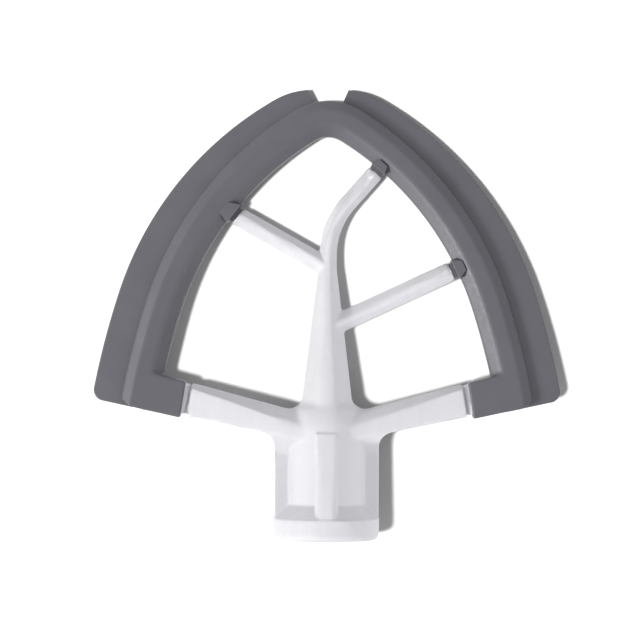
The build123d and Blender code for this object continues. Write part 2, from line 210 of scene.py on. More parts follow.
def soft_weights(piece, softer):
    """A vertex group that holds, in tenths, how much softer each place of the flat drawing is."""
    places = np.empty(len(piece.data.vertices) * 3)
    piece.data.vertices.foreach_get("co", places)
    x, y, z = (places.reshape(-1, 3) / MM).T
    flat_y = y * math.cos(rest_tilt) - z * math.sin(rest_tilt)
    tenths = np.rint(softer(x, flat_y) * 10)
    group = piece.vertex_groups.new(name="softer")
    for level in range(1, 11):
        group.add(np.flatnonzero(tenths == level).tolist(), level / 10, "REPLACE")
    return group.name


def fused(name, forms, voxel, passes, kept, softer, more_passes):
    """One object from closed forms, fused by a voxel remesh of the given size in mm and smoothed,
    with more passes where softer says so. Then edges are collapsed where the surface is flattest
    until a share of the faces is kept."""
    piece = together(name, forms)
    skin = piece.modifiers.new("one skin", "REMESH")
    skin.mode = "VOXEL"
    skin.voxel_size = voxel * MM
    smoothing(piece, "soft edges", passes)
    skinned(piece)
    smoothing(piece, "softer places", more_passes).vertex_group = soft_weights(piece, softer)
    piece.modifiers.new("fewer triangles", "DECIMATE").ratio = kept
    shaped = skinned(piece)
    triangles = sum(len(face.vertices) - 2 for face in shaped.polygons)
    print(name, "has", len(shaped.vertices), "points and", triangles, "triangles")
    return piece


# %% [markdown]
# ## The arch
# The rim's middle line is a pointed arch. It could be a Bezier curve laid over the photograph by
# hand. A mould maker draws with arcs that run on from each other without a corner, though, and
# three are enough here: a tight one at the tip, a wide one, and a nearly straight one down to the
# foot. A place on the soft edge is given by how far along that line it is and how far outwards
# from it, so both halves are the same formula with the sign of X changed.

# %% Places along the arch


def arc_run(x, y, radii_and_degrees):
    """Arcs that run on from each other from a point where they head along X, each as its centre,
    radius, first heading and sweep in radians, and the length before it."""
    heading, before, arcs = 0.0, 0.0, []
    for radius, degrees in radii_and_degrees:
        centre = (x - radius * math.sin(heading), y - radius * math.cos(heading))
        sweep = math.radians(degrees)
        arcs.append((centre, radius, heading, sweep, before))
        heading += sweep
        before += radius * sweep
        x = centre[0] + radius * math.sin(heading)
        y = centre[1] + radius * math.cos(heading)
    return arcs


arch = arc_run(0.0, tip_y, [(13.7, 31.6), (104.0, 40.7), (254.0, 12.0)])
arch_length = sum(radius * sweep for _, radius, _, sweep, _ in arch)


def arch_point(along, out):
    """The point at a distance along the middle line from the tip and a distance out from it. On
    an arc of radius R it is the centre plus R + out times (sin h, cos h), with h the heading.
    A negative distance along goes down the left half."""
    side = np.where(along < 0, -1.0, 1.0)
    distance = np.abs(along)
    x, y = np.zeros_like(distance), np.zeros_like(distance)
    for centre, radius, heading, _, before in arch:
        turned = heading + (distance - before) / radius
        x = np.where(distance >= before, centre[0] + (radius + out) * np.sin(turned), x)
        y = np.where(distance >= before, centre[1] + (radius + out) * np.cos(turned), y)
    return side * x, y


def out_from(arcs, x, y):
    """How far outwards from a run of arcs a point is: its distance to the centre of the arc whose
    sector it lies in, less that arc's radius. Before the first sector it is the distance along
    Y. The left half is measured as the right one is."""
    x = np.abs(x)
    first_centre, first_radius = arcs[0][:2]
    out = y - first_centre[1] - first_radius
    for number, (centre, radius, heading, sweep, _) in enumerate(arcs):
        angle = np.arctan2(x - centre[0], y - centre[1])
        last = number == len(arcs) - 1
        here = (angle >= heading) & ((angle < heading + sweep) | last)
        out = np.where(here, np.hypot(x - centre[0], y - centre[1]) - radius, out)
    return out


print("the middle line is", round(arch_length, 1), "mm long on each half")

# %% [markdown]
# ## Lines that cut the arch off
# The feet end on a line that rises slightly outwards, and the corner between that line and the
# rim's outer side is round. The finished rim could be cut there with a Boolean, but a strand that
# stops in the right place needs no cut. One function says how far outside such a rounded corner
# a point is, and a search by halves along the arch finds where each strand of the rim ends.

# %% The lower edge of the feet and its rounded corner
# Each sloping line: its height on the axis, and how much it rises for a millimetre outwards.
foot_line = (28.8, 0.212)
arm_line = (38.1, 0.268)
foot_corner = 3.2
foot_range = (arch_length * 0.7, arch_length * 1.1)


def line_height(line, x):
    """Height of a sloping line at a distance x from the axis."""
    return line[0] + line[1] * x


def below_line(x, y, line):
    """How far a point is below a sloping line, measured square to it."""
    return (line_height(line, np.abs(x)) - y) / math.hypot(1, line[1])


def outside_corner(first, second, radius):
    """Signed distance outside two edges that meet in a corner of a given radius: the length of
    both excesses over -radius, less the radius, or the larger one where neither is over."""
    a, b = first + radius, second + radius
    round_part = np.hypot(np.maximum(a, 0), np.maximum(b, 0))
    return np.minimum(np.maximum(a, b), 0) + round_part - radius


def halved(low, high, past):
    """The last place before a condition starts to hold, found by halving the interval between
    two places forty times. past(middle) says where it already holds."""
    for _ in range(40):
        middle = (low + high) / 2
        over = past(middle)
        low, high = np.where(over, low, middle), np.where(over, middle, high)
    return low


def strand_end(out):
    """How far along the arch a strand at a distance out runs before it leaves the outline."""
    def outside(along):
        below = below_line(*arch_point(along, out), foot_line)
        return outside_corner(below, out - rim_half, foot_corner) > 0
    return halved(*foot_range, outside)


print("strands end", np.round(strand_end(np.array([-5.0, 0.0, 5.0])), 2).tolist(), "mm along")

# %% [markdown]
# ## The rim
# Across the rim there is a flat face, a narrow bevel towards the lip and a wider one inside, the
# same in front and behind. A Bevel modifier would round all the edges alike. Here the corners are
# drawn first and each is then replaced by an arc of its own radius, tangent to both its sides,
# and the section runs along the arch from foot to foot.

# %% The rim's section, with its corners rounded


def rounded(corners, radii, steps=6):
    """A closed outline with each corner replaced by an arc. The arc's centre lies on the bisector
    at radius / sin(half the corner's angle), and the arc runs between the two tangent points."""
    corners = np.array(corners, float)
    before, after = np.roll(corners, 1, 0), np.roll(corners, -1, 0)
    outline = []
    for corner, back, ahead, radius in zip(corners, before, after, radii):
        a, b = back - corner, ahead - corner
        a, b = a / np.linalg.norm(a), b / np.linalg.norm(b)
        half = math.acos(np.clip(a @ b, -1, 1)) / 2
        reach = radius / math.tan(half)
        bisector = (a + b) / np.linalg.norm(a + b)
        centre = corner + bisector * radius / math.sin(half)
        first, last = corner + a * reach - centre, corner + b * reach - centre
        share = np.linspace(0, 1, steps)[:, None]
        mixed = first * (1 - share) + last * share
        outline.append(centre + mixed / np.linalg.norm(mixed, axis=1)[:, None] * radius)
    return np.concatenate(outline)


# The half depths of the rim's outer and inner sides, and the width of its inner bevel.
outer_side, inner_side, inner_bevel = 3.4, 2.2, 3.7
rim_corners = [(rim_half, outer_side), (rim_half - outer_bevel, rim_face),
               (inner_bevel - rim_half, rim_face), (-rim_half, inner_side)]
rim_rounds = [0.9, 2.0, 3.0, 0.8]
lower_corners = [(out, -height) for out, height in rim_corners[::-1]]
rim_section = rounded(rim_corners + lower_corners, rim_rounds + rim_rounds[::-1])
print("the rim's section has", len(rim_section), "points")

# %% The rim as strands that run from foot to foot
rim_rings = 361
section_out, section_height = rim_section.T
share_down = np.linspace(-1, 1, rim_rings)[:, None]
rim_x, rim_y = arch_point(share_down * strand_end(section_out), section_out)
rim_z = np.broadcast_to(section_height, rim_x.shape)
rim_form = tube(np.stack([rim_x, rim_y, rim_z], axis=-1))
print("the rim has", len(rim_form[0]), "points in", rim_rings, "rings")

# %% [markdown]
# ## The scraper lip
# The lip is the thin edge that wipes the bowl: a plate outside the rim, widest low down, tapering
# in thickness, and broken at the tip. A flat outline under Solidify would need weights to taper.
# So it is made as strands that start inside the rim and run outwards until they leave the lip's
# outline. Near the ends they turn to run along the outline's straight edges, and they lie closer
# together there, so that they also draw the round corners.

# %% How far out the lip reaches
lip_edge = arc_run(5.2, 142.9, [(23.5, 30.1), (109.2, 41.9), (260.0, 12.0)])
lip_line = (28.75, 0.212)
lip_corner, lip_tip_corner = 3.4, 0.9
gap_pivot, gap_lean = 130.0, math.radians(24.0)


def outside_lip(x, y):
    """How far outside the right lip a point is, with its lower and tip corners round."""
    edge = out_from(lip_edge, x, y)
    gap = (y - gap_pivot) * math.sin(gap_lean) - x * math.cos(gap_lean)
    lower = outside_corner(edge, below_line(x, y, lip_line), lip_corner)
    tip = outside_corner(edge, gap, lip_tip_corner)
    return np.maximum(lower, tip)


print("the lip's lower corner has a radius of", lip_corner, "mm")

# %% The strands of the lip
strands, lip_root_out, root_margin = 300, 1.5, 0.02
lip_start_turn = math.radians(10.9)
gap_fade, foot_fade = 6.0, 12.0
shortest, longest = 0.5, 20.0


def ramp(value, length):
    """0 where a value is under 0, 1 where it is over a length, and evenly rising between."""
    return np.clip(value / length, 0, 1)


def root_below_line(along):
    """Whether the lip's root is already below the lip's lower line, so far along the arch."""
    return below_line(*arch_point(along, lip_root_out), lip_line) > 0


first_along = arch[0][1] * lip_start_turn
last_along = halved(*foot_range, root_below_line) - root_margin
close_at_ends = (1 - np.cos(np.linspace(0, math.pi, strands))) / 2
along = first_along + close_at_ends * (last_along - first_along)
root = np.stack(arch_point(along, lip_root_out), axis=-1)
outwards = np.stack(arch_point(along, lip_root_out + 1), axis=-1) - root
gap_way = np.array([math.sin(gap_lean), math.cos(gap_lean)])
foot_way = np.array([1, foot_line[1]]) / math.hypot(1, foot_line[1])
near_gap = ramp(gap_fade - (along - first_along), gap_fade)[:, None]
near_foot = ramp(foot_fade - (last_along - along), foot_fade)[:, None]
way = outwards + near_gap * (gap_way - outwards) + near_foot * (foot_way - outwards)
way /= np.linalg.norm(way, axis=1)[:, None]


def past_outline(reach):
    """Whether strands of these lengths have already left the lip's outline."""
    return outside_lip(*(root.T + way.T * reach)) > 0


strand_lengths = halved(shortest, longest, past_outline)
print("the lip's strands are", np.round(strand_lengths.min(), 1), "to",
      np.round(strand_lengths.max(), 1), "mm long")

# %% The lip as a plate
lip_root_depth, lip_edge_depth, lip_width = 3.4, 1.3, 9.6
lip_edge_round = 0.35
strand_points, crowding = 24, 1.8


def quarter_round(radius, inside):
    """How far a rounded edge is drawn in at a distance inside it: r - sqrt(r^2 - (r - d)^2), and
    nothing once the distance is over the radius."""
    left = radius - np.clip(inside, 0, radius)
    return radius - np.sqrt(radius**2 - left**2)


share_out = 1 - (1 - np.linspace(0, 1, strand_points))**crowding
lip_points = root[:, None] + way[:, None] * (strand_lengths[:, None] * share_out)[..., None]
lip_x, lip_y = lip_points[..., 0], lip_points[..., 1]
thinning = (lip_root_depth - lip_edge_depth) / lip_width
lip_depth = lip_root_depth - thinning * (out_from(arch, lip_x, lip_y) - rim_half)
lip_half = lip_depth / 2 - quarter_round(lip_edge_round, -outside_lip(lip_x, lip_y))
lip_top = np.stack([lip_x, lip_y, lip_half], axis=-1)
right_lip = plate(lip_top, lip_top * np.array([1, 1, -1]))
print("the lip reaches out to X =", round(float(lip_x.max()), 2), "mm")

# %% [markdown]
# ## The feet
# Each foot is a square block round the end of an arm, as deep as the rim. A cube could be cut to
# its slanting end, but the end's edges are rounded too. So it is drawn as rings that run from the
# slanting end into the rim, and the first ones are drawn in along a quarter circle.

# %% The feet
foot_end_x, foot_slant, foot_round = 44.7, math.radians(9.0), 0.45
foot_low_shift, foot_run = 1.8, 15.0
foot_depths = [0.0, 0.03, 0.1, 0.2, 0.3, foot_round, foot_run]


def box_section(near, far, low, high, radii):
    """A rectangle with rounded corners, given by its two sides and its two levels."""
    return rounded([(near, low), (near, high), (far, high), (far, low)], radii)


def foot_ring(depth_in):
    """The foot's outline at a distance in from its end: a rectangle from the foot's lower line
    to the arm's upper line, drawn in near the end, and sheared so that the ring is parallel to
    the slanting end."""
    drawn = quarter_round(foot_round, depth_in)
    x_in = foot_end_x + depth_in
    high = line_height(arm_line, x_in) - drawn
    low = line_height(foot_line, x_in + foot_low_shift) + drawn
    section = box_section(high, low, drawn - rim_face, rim_face - drawn, [foot_round] * 4)
    corner = line_height(arm_line, foot_end_x)
    x = x_in + (corner - section[:, 0]) * math.tan(foot_slant)
    return np.stack([x, section[:, 0], section[:, 1]], axis=-1)


right_foot = tube([foot_ring(depth_in) for depth_in in foot_depths])
print("the foot runs from X =", round(float(right_foot[0][:, 0].min()), 2), "mm into the rim")

# %% [markdown]
# ## The pads
# Where a branch of the frame meets the rim, a pad of the soft moulding stands round its end:
# wide at the rim's inner edge and narrow where it meets the flat face. A narrower square sleeve
# goes on round the branch's pin. Both could be extruded from the rim's faces. As short tubes
# along the branch they keep their own width and their own crisp edges.

# %% Where the branches lie
# Each branch: where its middle line starts, its angle in degrees and its width.
branches = {
    "left": ((1.0, 86.0), 150.5, 5.9),
    "right": ((1.0, 67.6), 25.0, 6.2),
    "curved": ((0.25, 99.9), 48.6, 5.4),
}
across_the_arch = 140.0


def set_across(section, start, angle, along_it):
    """A section's points square to a line through the start, each at its own distance along."""
    x = start[0] - section[:, 0] * math.sin(angle) + along_it * math.cos(angle)
    y = start[1] + section[:, 0] * math.cos(angle) + along_it * math.sin(angle)
    return np.stack([x, y, section[:, 1]], axis=-1)


def reach_to(x, y, angle, out):
    """How far points inside the arch have to go at an angle until they are that far out from
    the middle line."""
    def past(far):
        return out_from(arch, x + far * math.cos(angle), y + far * math.sin(angle)) > out
    return halved(0.0, across_the_arch, past)


def reach_of(section, start, angle, out):
    """How far along its line each point of a section has to go until it is that far out."""
    ring = set_across(section, start, angle, 0.0)
    return reach_to(ring[:, 0], ring[:, 1], angle, out)


for name, (start, degrees, _) in branches.items():
    length = reach_to(*start, math.radians(degrees), -rim_half)
    print("the", name, "branch meets the rim after", round(float(length), 1), "mm")

# %% The pads and the sleeves
# Each pad: its width at the rim's inner edge, its width at the flat face, and its length.
pads = {"left": (7.0, 3.4, 4.2), "right": (6.2, 3.4, 2.5), "curved": (5.2, 3.2, 2.1)}
pad_proud, pad_height, pad_round, pad_chamfer = 0.45, 4.75, 0.18, 0.2
pad_sunk, pad_sunk_in = 0.3, 0.6
pin_gap, pin_sleeve_half, pin_sleeve_round = 1.05, 2.4, 0.5
pin_sleeve_gap, pin_sleeve_run = 0.05, 1.0


def pad_form(name):
    """A tube along the branch, from just inside the rim's inner edge to the flat face. Its
    width falls evenly and its inner end follows the rim. The first ring is drawn in, which
    gives the end a fine chamfer, and the last one is sunk in the rim."""
    start, degrees, _ = branches[name]
    inner_width, flat_width, length = pads[name]
    angle = math.radians(degrees)
    edge = reach_to(*start, angle, -rim_half)
    narrowing = (inner_width - flat_width) / 2 / length
    rings = []
    for in_from_edge, tight in ((-pad_proud, pad_chamfer), (pad_chamfer - pad_proud, 0), (0, 0),
                                (length / 2, 0), (length, 0), (length + pad_sunk, pad_sunk_in)):
        half = inner_width / 2 - narrowing * min(in_from_edge, length) - tight
        high = pad_height - tight
        section = box_section(half, -half, -high, high, [pad_round] * 4)
        follow = reach_of(section, start, angle, -rim_half) if in_from_edge <= 0 else edge
        rings.append(set_across(section, start, angle, follow + in_from_edge))
    return tube(rings)


def pin_sleeve_form(name):
    """The narrower square sleeve round a branch's pin, which fills the gap up to the branch."""
    start, degrees, _ = branches[name]
    angle = math.radians(degrees)
    half = pin_sleeve_half
    section = box_section(half, -half, -half, half, [pin_sleeve_round] * 4)
    follow = reach_of(section, start, angle, -rim_half - pad_proud)
    return tube([set_across(section, start, angle, follow + along_it)
                 for along_it in (pin_sleeve_gap - pin_gap, pin_sleeve_run)])


pad_forms = [form(name) for form in (pad_form, pin_sleeve_form) for name in branches]
print("pads and sleeves:", len(pad_forms))

# %% Fuse the rim and its feet, and add the lips and the pads
foot_corner_x, foot_corner_reach, foot_corner_fade = 52.5, 6.5, 3.0


def near_foot_corner(x, y):
    """1 at the inner corner between rim and foot, falling to 0 over a few millimetres."""
    corner_y = line_height(arm_line, foot_corner_x)
    from_corner = np.hypot(np.abs(x) - foot_corner_x, y - corner_y)
    return ramp(foot_corner_reach - from_corner, foot_corner_fade)


rim_and_feet = fused("rim_and_feet", [rim_form, right_foot, mirrored(right_foot)], voxel=0.3,
                     passes=2, kept=0.5, softer=near_foot_corner, more_passes=25)
scraper_lips = together("scraper_lips", [right_lip, mirrored(right_lip)])
branch_pads = together("branch_pads", pad_forms)
soft_pieces = [rim_and_feet, scraper_lips, branch_pads]

# %% [markdown]
# ## The hub
# The hub takes the mixer's drive shaft. It is turned about the socket's axis: a collar at the
# mouth, a cone up to the sleeve, and a soft shoulder that leads up to the spine. A Screw modifier
# could turn the outline, and Booleans could cut the two slots for the shaft's cross pin. As a
# grid, the same rings go on into the bore, and the slots are places where the bore's radius
# grows: they run in from the mouth, turn, and end in a rest.

# %% The bore and its bayonet slots
bore_radius, bore_depth, lead_in_radius = 6.5, 34.0, 6.8
mouth_radius, mouth_chamfer = 7.6, 0.8
slot_half, slot_reach = 2.45, 10.4
slot_low, slot_top, slot_rest = 13.0, 17.9, 11.0
slot_turn = math.radians(62.0)
around = np.linspace(0, 2 * math.pi, 240, endpoint=False)


def parallel_slot(turned, narrow):
    """Radius of a bore with one slot whose walls are parallel: half / |sin| of the angle from
    the slot's middle, kept between the bore's radius and the slot's reach."""
    sine = np.maximum(np.abs(np.sin(turned)), 1e-6)
    wide = np.clip(slot_half / sine, narrow, slot_reach)
    return np.where(np.cos(turned) > 0, wide, narrow)


def slotted(radius, y):
    """The bore's radius all round at a height: the plain one, or that of the two slots where
    they run in, turn, or rest."""
    result = np.full_like(around, radius)
    for entry in (math.pi / 2, 3 * math.pi / 2):
        turned = (around - entry + math.pi) % (2 * math.pi) - math.pi
        result = np.maximum(result, parallel_slot(turned, radius))
        if y > slot_rest:
            result = np.maximum(result, parallel_slot(turned - slot_turn, radius))
        if y > slot_low:
            result = np.where((turned > 0) & (turned < slot_turn), slot_reach, result)
    return result


def hub_ring(radius, y):
    """A ring about the socket's axis at a height, with one radius or one for each direction."""
    radius = np.broadcast_to(radius, around.shape)
    return np.stack([radius * np.cos(around), np.full_like(around, y),
                     -radius * np.sin(around)], axis=-1)


pole, step = 0.5, 0.05
bore_rings = [hub_ring(radius, y) for radius, y in (
    (pole, bore_depth), (bore_radius, bore_depth), (bore_radius, slot_top + step),
    (lead_in_radius, slot_top))]
bore_rings += [hub_ring(slotted(lead_in_radius, y), y) for y in (
    slot_top - step, slot_low + step, slot_low - step, slot_rest + step, slot_rest - step,
    mouth_chamfer)]
bore_rings.append(hub_ring(slotted(mouth_radius, 0.0), 0.0))
print("the bore is", 2 * bore_radius, "mm wide and", bore_depth, "mm deep")

# %% The outside of the hub
collar_round, cone_radius, cone_top = 2.2, 16.4, 11.3
sleeve_radius, sleeve_top = 12.4, 36.0
shoulder = [(12.3, 36.8), (12.05, 37.8), (11.75, 38.7), (11.45, 39.6), (11.1, 40.5),
            (10.7, 41.4), (10.3, 42.2), (9.0, 42.8), (pole, 42.8)]
mouth_edge = [(collar_radius - collar_round + collar_round * math.cos(angle),
               collar_round + collar_round * math.sin(angle))
              for angle in np.linspace(-math.pi / 2, 0, 9)]
outside = mouth_edge + [(collar_radius, collar_height), (cone_radius, collar_height),
                        (sleeve_radius, cone_top), (sleeve_radius, sleeve_top)] + shoulder
hub = tube(bore_rings + [hub_ring(radius, y) for radius, y in outside])
print("the hub has", len(hub[0]), "points")

# %% [markdown]
# ## The fins
# Four fins stiffen the hub. Those in front and behind have a round crest that falls a little
# towards the shoulder, so each is a tube of a few rings. Those at the sides lie in the beater's
# plane and curve out into the arms, so each is a plate between two outlines, which thickens into
# a web below the arm. Extruded outlines would need a second tool for that web.

# %% The fins in front and behind
fin_half, fin_low = 3.4, 3.5
crest_round, base_round = 2.4, 0.1
# Each ring of the front fin: its place along Y, its crest and its base inside the hub's wall.
face_fin_rings = [(fin_low, 15.9, 11.2), (7.0, 16.3, 11.2), (20.0, 14.75, 11.2),
                  (34.0, 13.0, 11.2), (34.5, 12.2, 10.8), (36.5, 9.0, 6.0)]


def face_fin(y, crest, base):
    """One ring of the front fin, its crest as round as its height allows."""
    crest_here = min(crest_round, (crest - base) * 0.45)
    section = box_section(fin_half, -fin_half, base, crest,
                          [base_round, crest_here, crest_here, base_round])
    return np.stack([section[:, 0], np.full(len(section), y), section[:, 1]], axis=-1)


front_fin = tube([face_fin(*ring) for ring in face_fin_rings])
rear_fin = mirrored(front_fin, (1, 1, -1))
print("the front fin reaches", max(crest for _, crest, _ in face_fin_rings), "mm from the axis")

# %% The fins at the sides
fin_reach, fin_round, fin_root = 16.55, 4.8, 9.0
web_height, web_below_face = 6.5, 0.1
arm_low_line = (30.4, 0.197)
# The half depth of an arm's face at its root and at its end, and how far out these are.
arm_face, arm_root, arm_tip = (10.0, 4.7), 7.4, 42.7
fin_rows, arc_rows, fin_columns, fin_run, fin_overlap = 22, 16, 24, 9.0, 0.3


def arm_face_height(x):
    """Half of an arm's depth at a distance from the axis, falling evenly from root to end."""
    return arm_face[0] + (x - arm_root) / (arm_tip - arm_root) * (arm_face[1] - arm_face[0])


lean = math.atan(arm_low_line[1])
curve_x = fin_reach + fin_round
curve_y = line_height(arm_low_line, curve_x) - fin_round / math.cos(lean)
turns = np.linspace(math.pi, math.pi / 2 + lean, arc_rows)
straight = np.linspace(fin_low, curve_y - fin_overlap, fin_rows)
side_outer = np.concatenate([
    np.stack([np.full(fin_rows, fin_reach), straight], axis=-1),
    np.stack([curve_x + fin_round * np.cos(turns), curve_y + fin_round * np.sin(turns)], axis=-1),
    [[curve_x + fin_run, line_height(arm_low_line, curve_x + fin_run) + fin_overlap]],
])
# The inner outline lies level with the outer one up to 28 mm, and above that it rises faster.
inner_y = np.interp(side_outer[:, 1], [fin_low, 28.0, 37.0], [fin_low, 28.0, 37.5])
side_inner = np.stack([np.full(len(side_outer), fin_root), inner_y], axis=-1)
mix = np.linspace(0, 1, fin_columns)[None, :, None]
side_plan = side_inner[:, None] * (1 - mix) + side_outer[:, None] * mix
side_x, side_y = side_plan[..., 0], side_plan[..., 1]
below_arm = np.clip(line_height(arm_low_line, side_x) - side_y, 0, web_height)
web = (1 - below_arm / web_height)**2
side_height = fin_half + (arm_face_height(side_x) - web_below_face - fin_half) * web
side_top = np.stack([side_x, side_y, side_height], axis=-1)
right_fin = plate(side_top, side_top * np.array([1, 1, -1]))
print("the side fins reach", fin_reach, "mm from the axis")

# %% [markdown]
# ## The arms
# Each arm runs from the hub out to a foot, getting thinner on the way. Its face is flat below
# and falls away in a long bevel above. It ends parallel to the foot, and a thinner neck, whose
# face slopes down towards the arm, goes on into the soft moulding. A scaled cube would have the
# same slant everywhere, so both are tubes between sloping lines. The neck is a piece of its own,
# as its edges are crisper than the fused skin can hold.

# %% The arms
arm_bevel_line = (33.3, 0.343)
arm_ridge, arm_cut, arm_end_chamfer, arm_gap = (6.4, 2.7), 0.7, 0.2, 2.0


def slanted_x(line, from_foot):
    """Where a sloping line meets the plane parallel to the foot's end, that far from it."""
    rise = math.tan(foot_slant)
    corner = line_height(arm_line, foot_end_x)
    return (foot_end_x + from_foot + (corner - line[0]) * rise) / (1 + line[1] * rise)


def arm_ring(part, shrink=0.0):
    """The arm's outline at a share of its length: four lines run out from the root to the
    slanting end, and the half depths of face and ridge shrink evenly."""
    upper = []
    for line, shift, level in ((arm_line, -shrink, 0), (arm_bevel_line, -shrink / 2, 1),
                               (arm_low_line, arm_cut, 1), (arm_low_line, shrink, 2)):
        x = arm_root + part * (slanted_x(line, -arm_gap) - arm_root)
        ridge = arm_ridge[0] + part * (arm_ridge[1] - arm_ridge[0]) - shrink
        face = arm_face_height(x) - shrink
        upper.append((x, line_height(line, x) + shift, (ridge, face, face - arm_cut)[level]))
    upper = np.array(upper)
    return np.concatenate([upper, upper[::-1] * np.array([1, 1, -1])])


arm = tube([arm_ring(part) for part in (0, 0.25, 0.5, 0.75, 0.99)]
           + [arm_ring(1.0, arm_end_chamfer)])
print("the arm ends at X =", round(slanted_x(arm_line, -arm_gap), 2), "mm")

# %% The necks
neck_round = 0.3
# Each ring of the neck: its distance from the foot, its inset from the arm and its half depth.
neck_rings = [(-3.0, 0.8, 2.4), (-1.7, 0.8, 2.5), (-1.2, 0.6, 3.3), (-0.1, 0.5, 3.6),
              (2.5, 0.5, 3.6)]


def neck_ring(from_foot, inset, height):
    """The neck's rectangle, set in from the arm's edges and drawn at a half depth."""
    top, low = slanted_x(arm_line, from_foot), slanted_x(arm_low_line, from_foot)
    high, under = line_height(arm_line, top) - inset, line_height(arm_low_line, low) + inset
    section = box_section(high, under, -height, height, [neck_round] * 4)
    x = np.interp(section[:, 0], [under, high], [low, top])
    return np.stack([x, section[:, 0], section[:, 1]], axis=-1)


neck = tube([neck_ring(*ring) for ring in neck_rings])
arm_necks = together("arm_necks", [neck, mirrored(neck)])

# %% [markdown]
# ## The spine and the branches
# The spine tapers from the shoulder up to the place where the branches leave it. All of them
# have an eight-sided section: a flat in front, a flat at each side, and bevels between. A curve
# with a bevel profile keeps one section all the way, but here width and depth fall at different
# rates, so each ring is worked out by itself. At its root the spine is widened by an arc.

# %% The spine
front_swell = 0.13
spine_low, spine_high = 40.0, 87.0
spine_low_half, spine_narrowing = 8.45, 5.65
spine_low_depth, spine_thinning = 21.0, 14.6
spine_face, spine_low_side, spine_side_loss = 0.31, 0.42, 0.16
root_arc = 4.0
spine_places = [38.5, 40.5, 41.3, 41.6, 41.8, 42.1, 42.5, 43.0, 43.5, 44.0, 44.6, 45.4, 50.0,
                62.0, 74.0, spine_high]


def eight_sided(width, depth, face_share, side_share):
    """A section with a flat at each side, bevels, and a front that swells a little: its height
    falls with the square of the distance from the middle."""
    side, front = width / 2, depth / 2
    across_front = np.linspace(1, -1, 7)
    face_height = front - front_swell * side * face_share * across_front**2
    x = np.concatenate([[side], side * face_share * across_front, [-side]])
    z = np.concatenate([[front * side_share], face_height, [front * side_share]])
    half = np.stack([x, z], axis=-1)
    return np.concatenate([half, half[::-1] * np.array([1, -1])])


def spine_half(y):
    """Half of the spine's width, falling evenly upwards, and near its root widened by an arc that
    is tangent to the spine's side and to the arm's upper edge. The arc's centre lies one radius
    from both lines."""
    slope = spine_narrowing / (spine_high - spine_low)
    arm_slope = arm_line[1]
    first, second = math.hypot(1, slope), math.hypot(1, arm_slope)
    centre = np.linalg.solve([[1, slope], [-arm_slope, 1]],
                             [spine_low_half + spine_low * slope + root_arc * first,
                              arm_line[0] + root_arc * second])
    if y >= centre[1] + root_arc * slope / first:
        return spine_low_half - slope * (y - spine_low)
    if y > centre[1] - root_arc / second:
        return centre[0] - math.sqrt(root_arc**2 - (y - centre[1])**2)
    return centre[0] + root_arc * arm_slope / second


def spine_ring(y):
    """The spine's section at a height, its depth and the share of its side flats falling evenly.
    Where the root widens it, only the side flats move out."""
    part = (y - spine_low) / (spine_high - spine_low)
    half = spine_half(y)
    section = eight_sided(2 * half, spine_low_depth - spine_thinning * part, spine_face,
                          spine_low_side - spine_side_loss * part)
    swell = half / (spine_low_half - spine_narrowing * part)
    on_front = np.abs(section[:, 0]) < half * 0.9
    x = np.where(on_front, section[:, 0] / swell, section[:, 0])
    return np.stack([x, np.full(len(section), y), section[:, 1]], axis=-1)


spine = tube([spine_ring(y) for y in spine_places])
print("the spine is", round(2 * spine_half(spine_high), 2), "mm wide at its top")

# %% The branches
branch_out = -(rim_half + pad_proud + pin_gap)
branch_depth, branch_face, branch_side, end_chamfer = 6.0, 0.30, 0.30, 0.5
root_depths, root_share = {"left": 0.0, "right": 5.0}, 0.2
curved_root, curved_bend = np.array([0.2, 82.0]), 25.0


def branch_ring(place, angle, width, depth, drawn=0.0, share_along=0.0):
    """A branch's section square to it at a place, with its corners drawn in towards its middle.
    A share of 1 along moves it on to the rim, whose curve it then follows."""
    section = eight_sided(width, depth, branch_face, branch_side)
    size = np.abs(section).max(axis=0)
    section = section * (size - drawn) / size
    follow = reach_of(section, place, angle, branch_out) - end_chamfer + drawn
    return set_across(section, place, angle, follow * share_along)


def straight_branch(name):
    """Rings from the spine to the rim, deeper at the root. The last ones follow the rim's curve,
    and the very last is drawn in, which chamfers the end."""
    start, degrees, width = branches[name]
    rings = []
    for share_along, drawn in ((0.0, 0), (root_share, 0), (0.6, 0), (1.0, 0), (1.0, end_chamfer)):
        near_root = max(root_share - share_along, 0) / root_share
        depth = branch_depth + root_depths[name] * near_root
        rings.append(branch_ring(start, math.radians(degrees), width, depth, drawn, share_along))
    return tube(rings)


def unit(angle):
    """The unit vector at an angle from the X axis."""
    return np.array([math.cos(angle), math.sin(angle)])


def curved_branch():
    """Rings along a line, an arc and a line: the arc turns the branch from nearly straight up to
    its final angle, tangent to both lines, which meet in the branch's corner."""
    corner, degrees, width = branches["curved"]
    first, last = math.atan2(*(corner - curved_root)[::-1]), math.radians(degrees)
    cut_off = curved_bend * math.tan((first - last) / 2)
    centre = corner - cut_off * unit(first) + curved_bend * unit(first - math.pi / 2)
    path = [(curved_root, first)]
    path += [(centre + curved_bend * unit(angle + math.pi / 2), angle)
             for angle in np.linspace(first, last, 17)]
    rings = [branch_ring(place, angle, width, branch_depth) for place, angle in path]
    rings += [branch_ring(corner + cut_off * unit(last), last, width, branch_depth, drawn, 1.0)
              for drawn in (0.0, end_chamfer)]
    return tube(rings)


frame_forms = [hub, front_fin, rear_fin, right_fin, mirrored(right_fin), arm, mirrored(arm),
               spine, straight_branch("left"), straight_branch("right"), curved_branch()]
print("the frame is fused from", len(frame_forms), "forms")

# %% Fuse the frame
# The shoulder's lower and upper end and its half width, and over how many millimetres each fades.
shoulder_low, shoulder_high, shoulder_half = 31.0, 46.0, 17.0
height_fade, width_fade = 3.0, 4.0
